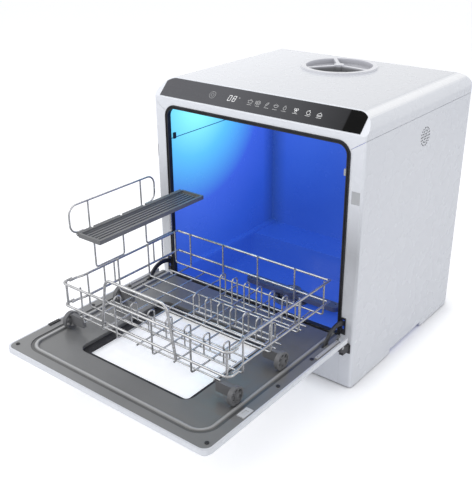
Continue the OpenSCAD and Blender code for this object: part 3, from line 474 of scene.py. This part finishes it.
def smokedGlass():
    panelLow, panelHigh = partBox("control_panel")
    pane = {
        "base": (0.05, 0.05, 0.05),
        "roughness": 0.24,
        # painted reflection: grey falls from left to right; the sudden step to black near the right
        # end is the panel's own black part
        "stops": [(0.0, 0.135), (0.35, 0.125), (0.70, 0.082), (0.92, 0.038), (0.926, 0.002),
                  (1.0, 0.002)],       # share of the width from the left, grey
        "tint": (1, 1, 1.06),
    }
    material, tree, shader = newFinish("smokedPanel", pane["base"], pane["roughness"],
                                       specular=0.1)
    paint(tree, shader, greyRamp(tree, placeAlong(tree, "X"), panelLow.x, panelHigh.x,
                                 pane["stops"], pane["tint"]))
    addGloss(tree, shader, 30.0, 5.0, 0.2, 0.32, (1, 3, 3))
    addGrain(tree, shader, noiseAt(tree, 600.0), 0.05, 0.00005, 0.0005)
    return material


def litTub():
    lampLow, lampHigh = partBox("tub_lamp")
    tubLow, tubHigh = partBox("tub_shell")
    tub = {
        "plastic": (0.10, 0.17, 0.40),
        "deep": (0.07, 0.13, 0.36),
        "roughness": 0.22,
        "wall": 0.002,
        "fromLamp": Vector((-0.022, -0.0075, -0.0125)),      # lamp to the centre of the glow
        "near": 0.03,
        "reach": 0.36,
        "glow": 0.9,
        "colours": [(0.0, (0.34, 1.12, 0.98)), (0.22, (0.12, 0.60, 0.95)),
                    (0.5, (0.045, 0.11, 0.60)), (0.78, (0.02, 0.07, 0.42)),
                    (1.0, (0.014, 0.05, 0.30))],
        "crease": 0.3577,        # height of the moulding line
        "creaseHalf": 0.0008,
        "creaseShade": (0.01, 0.06, 0.09),
        "cornerShadeColour": (0.01, 0.03, 0.12),
        "cornerShadeBand": (0.004, 0.035),
    }
    material, tree, shader = newFinish("tubPlastic", tub["plastic"], tub["roughness"], coat=0.4)
    paint(tree, shader, cloudy(tree, 6.0, 3.0, tub["plastic"], tub["deep"], 0.35, 0.65))
    addGloss(tree, shader, 30.0, 4.0, 0.18, 0.3)
    # painted light: the tub walls glow as if lit by the tub lamp, brightest near it
    away = vectorNode(tree, "DISTANCE", bodyPlace(tree),
                      (lampLow + lampHigh) / 2 + tub["fromLamp"])
    glow = colourRamp(tree, away, tub["near"], tub["reach"], tub["colours"])
    # painted shade along the moulding crease
    line = mathNode(tree, "COMPARE", placeAlong(tree, "Z"), tub["crease"], tub["creaseHalf"])
    creaseShaded = mixColours(tree, line, glow, tub["creaseShade"])
    # painted shade in the back left corner
    corner = (tubLow.x + tub["wall"], tubHigh.y - tub["wall"], 0)      # back left upright
    aside = vectorNode(tree, "DISTANCE",
                       vectorNode(tree, "MULTIPLY", bodyPlace(tree), (1, 1, 0)), corner)
    shadeBand = rampBetween(tree, aside, 0.75, 0.0, *tub["cornerShadeBand"])
    addGlow(tree, shader, mixColours(tree, shadeBand, creaseShaded, tub["cornerShadeColour"]), tub["glow"])
    addGrain(tree, shader, noiseAt(tree, 700.0), 0.12, 0.00006, 0.0008)
    return material


def coatedWire():
    rod = {"pale": (0.56, 0.56, 0.565), "dark": (0.38, 0.38, 0.385), "roughness": 0.22}
    material, tree, shader = newFinish("coatedWire", rod["pale"], rod["roughness"],
                                       metallic=0.7, coat=0.35)
    paint(tree, shader, cloudy(tree, 60.0, 4.0, rod["dark"], rod["pale"]))
    addGloss(tree, shader, 260.0, 3.0, 0.18, 0.3)
    addGrain(tree, shader, noiseAt(tree, 1500.0), 0.2, 0.00005)
    return material


def brushedSteel():
    steel = {"pale": (0.55, 0.55, 0.56), "dark": (0.38, 0.38, 0.39), "roughness": 0.38}
    material, tree, shader = newFinish("brushedSteel", steel["pale"], steel["roughness"],
                                       metallic=1.0)
    drawn = noiseAt(tree, 120.0, 4.0, (1, 30, 30))
    paint(tree, shader, mixColours(tree, rampBetween(tree, drawn, 0.0, 1.0), steel["dark"],
                                   steel["pale"]))
    tree.links.new(rampBetween(tree, drawn, 0.24, 0.4), shader.inputs["Roughness"])
    addGrain(tree, shader, drawn, 0.2, 0.00005, 0.0004)
    return material


def softRubber():
    rubber = {"black": (0.012, 0.012, 0.014), "bloom": (0.035, 0.035, 0.04), "roughness": 0.55}
    material, tree, shader = newFinish("sealRubber", rubber["black"], rubber["roughness"],
                                       specular=0.4)
    paint(tree, shader, cloudy(tree, 40.0, 4.0, rubber["black"], rubber["bloom"]))
    addGloss(tree, shader, 160.0, 3.0, 0.48, 0.66)
    addGrain(tree, shader, noiseAt(tree, 1300.0), 0.3, 0.00006, 0.0005)
    return material


def clearTank():
    tank = {"tint": (0.78, 0.85, 0.9), "paler": 1.06, "roughness": 0.25, "clearness": 0.7}
    material, tree, shader = newFinish("clearTank", tank["tint"], tank["roughness"],
                                       transmission=tank["clearness"], ior=1.5)
    paler = tuple(min(1.0, c * tank["paler"]) for c in tank["tint"])
    paint(tree, shader, cloudy(tree, 5.0, 2.0, tank["tint"], paler))
    addGloss(tree, shader, 25.0, 4.0, tank["roughness"] * 0.7, tank["roughness"] * 1.6)
    return material


def lampLens():
    lens = {"base": (0.55, 0.9, 1.0), "dim": (0.5, 0.9, 1.0), "bright": (0.7, 1.0, 1.0),
            "roughness": 0.15, "rings": 400.0, "glow": 3.0}
    material, tree, shader = newFinish("lampLens", lens["base"], lens["roughness"])
    rings = tree.nodes.new("ShaderNodeTexWave")
    rings.wave_type = "RINGS"
    rings.rings_direction = "Z"
    rings.inputs["Scale"].default_value = lens["rings"]
    tree.links.new(bodyPlace(tree), rings.inputs["Vector"])
    addGlow(tree, shader, mixColours(tree, rings.outputs["Fac"], lens["dim"], lens["bright"]),
            lens["glow"])
    return material


def litMark(name, level):
    mark = {"base": (0.3, 0.3, 0.3), "roughness": 0.4, "dim": (0.85, 0.86, 0.87)}
    material, tree, shader = newFinish(name, mark["base"], mark["roughness"])
    dim = tuple(level * share for share in mark["dim"])
    addGlow(tree, shader, cloudy(tree, 300.0, 2.0, dim, (level, level, level)), 1.0)
    return material


def whitePane():
    pane = {"colour": (0.93, 0.94, 0.95), "paler": (0.97, 0.975, 0.98), "roughness": 0.12,
            "dim": (0.9, 0.91, 0.92), "bright": (1, 1, 1), "glow": 0.35}
    material, tree, shader = newFinish("windowPane", pane["colour"], pane["roughness"], coat=0.4)
    paint(tree, shader, cloudy(tree, 12.0, 3.0, pane["colour"], pane["paler"]))
    addGloss(tree, shader, 60.0, 4.0, 0.08, 0.2)
    # painted light: the pane glows a little, standing in for reflected light
    addGlow(tree, shader, cloudy(tree, 12.0, 3.0, pane["dim"], pane["bright"]), pane["glow"])
    return material


finishes = {
    "enamel": sprayedEnamel(),
    "whitePlastic": mouldedPlastic("whitePlastic", (0.80, 0.81, 0.83), (0.86, 0.87, 0.89), 0.28,
                                   coat=0.3),
    "cap": capPlastic(),
    "panel": smokedGlass(),
    "liner": linerPlastic(),
    "grey": mouldedPlastic("greyPlastic", (0.16, 0.16, 0.165), (0.24, 0.24, 0.245), 0.45),
    "rack": mouldedPlastic("rackPlastic", (0.17, 0.17, 0.17), (0.25, 0.25, 0.25), 0.4),
    "light": mouldedPlastic("lightPlastic", (0.55, 0.56, 0.57), (0.64, 0.65, 0.66), 0.38),
    "black": mouldedPlastic("blackPlastic", (0.018, 0.018, 0.02), (0.06, 0.06, 0.065), 0.4),
    "rubber": softRubber(),
    "tub": litTub(),
    "lens": lampLens(),
    "wire": coatedWire(),
    "steel": brushedSteel(),
    "zinc": mouldedPlastic("zincPlate", (0.42, 0.42, 0.43), (0.55, 0.55, 0.56), 0.3, coat=0.3),
    "glass": whitePane(),
    "digits": litMark("litDigits", 0.95),
    "icons": litMark("litIcons", 0.5),
    "ring": litMark("dimRing", 0.3),
    "tank": clearTank(),
    "board": mouldedPlastic("boardLacquer", (0.02, 0.12, 0.045), (0.03, 0.18, 0.07), 0.35),
}

partFinish = {
    "enamel": ["top_cover", "side_panel_left", "side_panel_right", "kick_panel", "back_panel",
               "door_shell"],
    "whitePlastic": ["fill_funnel"],
    "cap": ["fill_cap"],
    "panel": ["control_panel"],
    "liner": ["door_liner", "liner_rim"],
    "glass": ["door_window"],
    "grey": ["wheel_front_left", "wheel_front_right", "wheel_rear_left", "wheel_rear_right",
             "filter_cup", "lower_spray_arm", "wheel_carriers"],
    "rack": ["cup_rack"],
    "light": ["base_pan", "hose_fittings", "spray_hub", "latch_catch", "door_strike", "wash_pump",
              "drain_pump"],
    "black": ["hinge_ears", "hinge_brackets", "door_stays", "stay_bezels", "door_switch",
              "switch_tab", "power_inlet", "fan_housing", "fan_rotor", "door_screws"],
    "rubber": ["door_gasket", "window_trim", "feet"],
    "tub": ["tub_shell", "tub_floor", "basket_rails"],
    "lens": ["tub_lamp"],
    "wire": ["basket_floor", "basket_front", "basket_back", "basket_left", "basket_right",
             "basket_handle", "plate_tines", "rack_frame"],
    "steel": ["hinge_pins", "hinge_springs", "filter_mesh", "heater"],
    "zinc": ["hinge_straps"],
    "tank": ["water_tank"],
    "board": ["display_board", "main_board"],
}

for finish, parts in partFinish.items():
    for part in parts:
        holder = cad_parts[part]
        holder.data.materials.clear()
        holder.data.materials.append(finishes[finish])
unfinished = sorted(set(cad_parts) - {p for parts in partFinish.values() for p in parts})
print("Finishes given; left over:", unfinished)


# Small pieces


def newPiece(name, shape, finish, body):
    mesh = bpy.data.meshes.new(name)
    shape.normal_update()
    shape.to_mesh(mesh)
    shape.free()
    mesh.materials.append(finishes[finish])
    piece = bpy.data.objects.new(name, mesh)
    scene.collection.objects.link(piece)
    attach(piece, body)


def arc(x, y, radius, start=0, end=360, steps=18):
    return [(x + radius * math.cos(math.radians(start + (end - start) * k / steps)),
             y + radius * math.sin(math.radians(start + (end - start) * k / steps)))
            for k in range(steps + 1)]


def onSlope(x, up, out):
    # millimetres across, up and out of the slanted face, to metres
    slope = {"foot": 0.030, "lean": math.sqrt(0.5)}      # foot below the top; 45 degrees
    return Vector((x / 1000, cabinetLow.y + (up - out) * slope["lean"] / 1000,
                   cabinetHigh.z - slope["foot"] + (up + out) * slope["lean"] / 1000))


def addStroke(shape, points, width, out):
    for (x0, y0), (x1, y1) in zip(points, points[1:]):
        length = math.hypot(x1 - x0, y1 - y0)
        halfX, halfY = (x1 - x0) / length * width / 2, (y1 - y0) / length * width / 2
        ends = [(x0 - halfX, y0 - halfY), (x1 + halfX, y1 + halfY)]
        corners = [(ends[0][0] - halfY, ends[0][1] + halfX),
                   (ends[0][0] + halfY, ends[0][1] - halfX),
                   (ends[1][0] + halfY, ends[1][1] - halfX),
                   (ends[1][0] - halfY, ends[1][1] + halfX)]
        shape.faces.new([shape.verts.new(onSlope(x, y, out)) for x, y in corners])


def drawMarks(name, drawings, width, finish):
    # drawings: list of (x, up, scale, strokes); crossing strokes lie at steps of the height
    ink = {"height": 0.86, "step": 0.004, "steps": 3}
    marks = bmesh.new()
    for n, (x, up, scale, strokes) in enumerate(drawings):
        for k, points in enumerate(strokes):
            placed = [(x + px * scale, up + py * scale) for px, py in points]
            addStroke(marks, placed, width, ink["height"] + ink["step"] * ((n + k) % ink["steps"]))
    newPiece(name, marks, finish, "cabinet")


def digitStrokes(lit):
    # seven bars, numbered from the top round to the middle
    bars = [[(-1.6, 4), (1.6, 4)], [(2, 3.6), (2, 0.4)], [(2, -0.4), (2, -3.6)],
            [(1.6, -4), (-1.6, -4)], [(-2, -3.6), (-2, -0.4)], [(-2, 0.4), (-2, 3.6)],
            [(-1.6, 0), (1.6, 0)]]
    slant = 0.14
    return [[(px + slant * py, py) for px, py in bars[n]] for n in lit]


def buildPanelMarks():
    panel = {                    # all in mm
        "middle": 21.0,          # height of the row of marks on the face
        "power": -89.0,
        "powerScale": 1.25,
        "digits": (-52.5, -43.2),
        "digitScale": 1.25,
        "digitWidth": 0.85,
        "unit": -34.5,
        "unitUp": 3.2,
        "unitWidth": 0.4,
        "icons": (-11, 5, 23, 39, 56, 77, 100, 120),
        "iconScale": 1.3,
        "iconUp": 0.6,
        "lineWidth": 0.5,
        "faint": 5,              # the first icons are dimmer
    }
    up = panel["middle"]
    power = [arc(0, 0, 5.0), arc(0, 0, 2.3, 125, 415), [(0, 1.0), (0, 3.0)]]
    drawMarks("powerRing", [(panel["power"], up, panel["powerScale"], power)],
              panel["lineWidth"], "ring")
    drawMarks("displayDigits", [(x, up, panel["digitScale"], digitStrokes(lit))
                                for x, lit in zip(panel["digits"], (range(6), range(7)))],
              panel["digitWidth"], "digits")
    unit = [arc(0, 0, 0.7, steps=8), [(1.8, -0.6), (1.8, 0.8)]]
    drawMarks("displayUnit", [(panel["unit"], up + panel["unitUp"], 1.0, unit)],
              panel["unitWidth"], "icons")
    pot = [[(-3, 1.4), (-2.6, -2.2), (2.6, -2.2), (3, 1.4), (-3, 1.4)], [(-4, 0.6), (-3, 0.6)],
           [(3, 0.6), (4, 0.6)], [(-1, 2.6), (1, 2.6)]]
    plate = [arc(0, 0, 2.9, steps=14), arc(0, 0, 1.5, steps=10), [(-4.2, 2.4), (-4.2, -2.4)]]
    bowl = [arc(0, 1.2, 3.0, 180, 360, 10), [(-3.4, 1.2), (3.4, 1.2)], [(-1, 2.4), (-1, 3.2)],
            [(1, 2.4), (1, 3.2)]]
    leaf = [arc(0.6, -0.6, 3.2, 80, 190, 8), arc(-2.2, 2.2, 3.2, -100, 10, 8), [(-3, -3), (1, 1.4)]]
    drop = [arc(0, -0.8, 2.0, -220, 40, 10), [(-1.5, 0.5), (0, 3.2)], [(1.5, 0.5), (0, 3.2)]]
    fan = [arc(0, 0, 0.7, steps=8)] + [arc(1.9 * math.cos(t), 1.9 * math.sin(t), 1.3, steps=8)
                                       for t in (0.5, 2.6, 4.7)]
    fruit = [arc(-0.2, -0.4, 2.5, steps=14), [(-0.2, 2.1), (1.0, 3.3)], [(2.6, -2.2), (3.6, -3.2)]]
    lid = [arc(0, -1.4, 3.0, 0, 180, 10), [(-3.6, -1.4), (3.6, -1.4)], [(-3, -2.6), (3, -2.6)],
           [(0, 1.8), (0, 2.8)]]
    dash = [[(-3.2, -4.6), (3.2, -4.6)]]
    icons = [(x, up + panel["iconUp"], panel["iconScale"], strokes + dash) for x, strokes
             in zip(panel["icons"], (pot, plate, leaf, bowl, drop, fan, fruit, lid))]
    drawMarks("programmeIcons", icons[:panel["faint"]], panel["lineWidth"], "icons")
    drawMarks("extraIcons", icons[panel["faint"]:], panel["lineWidth"], "digits")


def roundBlock(name, low, high, radius, finish, body):
    block = bmesh.new()
    bmesh.ops.create_cube(block, size=1)
    middle = (Vector(low) + Vector(high)) / 2
    size = Vector(high) - Vector(low)
    for vert in block.verts:
        vert.co = Vector(c * w for c, w in zip(vert.co, size)) + middle
    bmesh.ops.bevel(block, geom=block.edges[:], offset=radius, segments=3, profile=0.6,
                    affect="EDGES")
    for face in block.faces:
        face.smooth = True
    newPiece(name, block, finish, body)


def buildTubTabs():
    tab = {
        "height": 0.011,
        "depth": 0.006,
        "round": 0.0008,
        "front": 0.0005,
        "leftFoot": 0.3565,
        "leftReach": 0.0035,     # how far it stands in from the tub's wall
        "rightFoot": 0.3625,
        "rightReach": 0.0165,
    }
    wall = partBox("tub_floor")[1].x
    back = tab["front"] + tab["depth"]
    roundBlock("tubTabLeft", (-wall, tab["front"], tab["leftFoot"]),
               (-wall + tab["leftReach"], back, tab["leftFoot"] + tab["height"]),
               tab["round"], "black", "cabinet")
    roundBlock("tubTabRight", (wall - tab["rightReach"], tab["front"], tab["rightFoot"]),
               (wall, back, tab["rightFoot"] + tab["height"]), tab["round"], "light", "cabinet")


def crossOutline(reach, half):
    quarter = [(half, reach), (half, half), (reach, half)]
    mirrored = [(x, -z) for x, z in reversed(quarter)]
    return quarter + mirrored + [(-x, -z) for x, z in quarter] + [(-x, -z) for x, z in mirrored]


def wallBetween(shape, lower, upper):
    for k in range(len(lower)):
        after = (k + 1) % len(lower)
        shape.faces.new((lower[k], upper[k], upper[after], lower[after]))


def rimEdges(shape, loop):
    return [shape.edges.get((loop[k - 1], loop[k])) for k in range(len(loop))]


def buildBackScrews():
    screw = {
        "radius": 0.0038,
        "height": 0.0016,
        "slot": 0.0009,
        "slotReach": 0.45,       # share of the radius
        "slotFloor": 0.55,       # share of the height
        "profile": [(1.0, 0.0), (1.0, 0.45), (0.82, 0.85), (0.45, 1.0)],
        "sides": 24,
        "across": (-0.17, 0.17),
        "up": (0.02, 0.21, 0.41),
    }
    back = cabinetHigh.y
    turns = [2 * math.pi * k / screw["sides"] for k in range(screw["sides"])]
    cross = crossOutline(screw["radius"] * screw["slotReach"], screw["slot"] / 2)
    for n, (x, z) in enumerate([(x, z) for x in screw["across"] for z in screw["up"]]):
        head = bmesh.new()
        loops = [[head.verts.new((x + screw["radius"] * share * math.cos(turn),
                                  back + screw["height"] * rise,
                                  z + screw["radius"] * share * math.sin(turn)))
                  for turn in turns] for share, rise in screw["profile"]]
        for lower, upper in zip(loops, loops[1:]):
            wallBetween(head, lower, upper)
        floor, top = ([head.verts.new((x + cx, back + screw["height"] * level, z + cz))
                       for cx, cz in cross] for level in (screw["slotFloor"], 1.0))
        head.faces.new(floor)
        wallBetween(head, floor, top)
        bmesh.ops.triangle_fill(head, edges=rimEdges(head, loops[-1]) + rimEdges(head, top),
                                use_beauty=True)
        bmesh.ops.recalc_face_normals(head, faces=head.faces[:])
        newPiece("backScrew_%d" % n, head, "steel", "cabinet")


buildPanelMarks()
buildTubTabs()
buildBackScrews()
print("Small pieces built")
